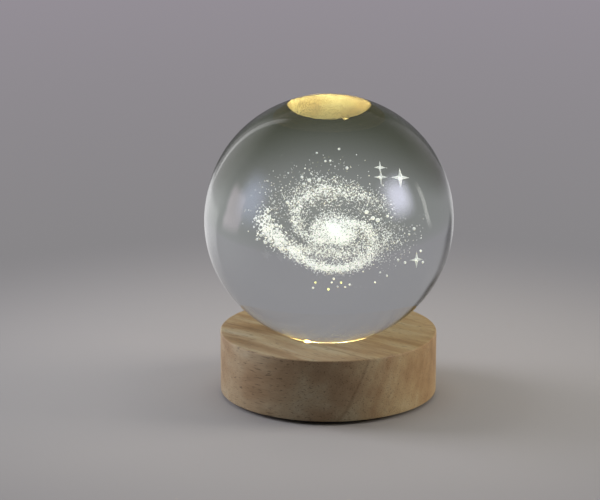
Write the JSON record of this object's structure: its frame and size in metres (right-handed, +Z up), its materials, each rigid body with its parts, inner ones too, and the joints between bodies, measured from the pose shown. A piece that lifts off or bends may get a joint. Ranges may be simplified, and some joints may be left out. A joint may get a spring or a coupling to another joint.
{
  "type": "crystal ball night lamp",
  "caption": "Solid glass ball with an engraved spiral galaxy, resting in the lit seat of a round wooden base with a power socket at the back.",
  "frame": {"origin": "centre of the grip pad's underside, on the surface that the lamp stands on", "axes": "+Z up along the base's axis, -Y towards the front, +Y towards the power socket, +X to the right seen from the front"},
  "size_m": [0.08, 0.08, 0.0979],
  "materials": {
    "crystal": "polished solid optical glass",
    "engraving": "white cloud of fine cracks inside the glass",
    "beech": "turned and sanded beech under a thin satin lacquer",
    "fibreboard": "dark pressed fibreboard",
    "grip_foam": "black closed-cell foam",
    "white_board": "white solder mask",
    "green_board": "green solder mask",
    "diode_body": "white reflector plastic",
    "diode_window": "clear silicone over yellow phosphor",
    "chip_ceramic": "black glazed ceramic",
    "screw_steel": "zinc-plated steel",
    "socket_steel": "bright nickel-plated steel",
    "tongue_plastic": "black moulded plastic",
    "solder_tin": "bright tin solder",
    "red_insulation": "satin red insulation",
    "black_insulation": "satin black insulation"
  },
  "bodies": {
    "base": {"wood_base": "beech", "bottom_cover": "fibreboard", "grip_pad": "grip_foam", "cover_screw_1": "screw_steel", "cover_screw_2": "screw_steel", "cover_screw_3": "screw_steel", "led_board": "white_board", "board_screw_1": "screw_steel", "board_screw_2": "screw_steel", "board_screw_3": "screw_steel", "led_1": "diode_body", "led_2": "diode_body", "led_3": "diode_body", "led_window_1": "diode_window", "led_window_2": "diode_window", "led_window_3": "diode_window", "resistor_1": "chip_ceramic", "resistor_2": "chip_ceramic", "resistor_3": "chip_ceramic", "socket_board": "green_board", "socket_screw_1": "screw_steel", "socket_screw_2": "screw_steel", "socket_shell": "socket_steel", "socket_tongue": "tongue_plastic", "socket_resistor_1": "chip_ceramic", "socket_resistor_2": "chip_ceramic", "lead_positive": "red_insulation", "lead_negative": "black_insulation", "solder_positive_light": "solder_tin", "solder_positive_socket": "solder_tin", "solder_negative_light": "solder_tin", "solder_negative_socket": "solder_tin"},
    "ball": {"crystal_ball": "crystal", "engraved_galaxy": "engraving"}
  },
  "joints": [
    {"name": "ball_lift", "type": "slide", "parent": "base", "child": "ball", "axis": [0, 0, 1], "range_m": [0, 0.06]}
  ]
}
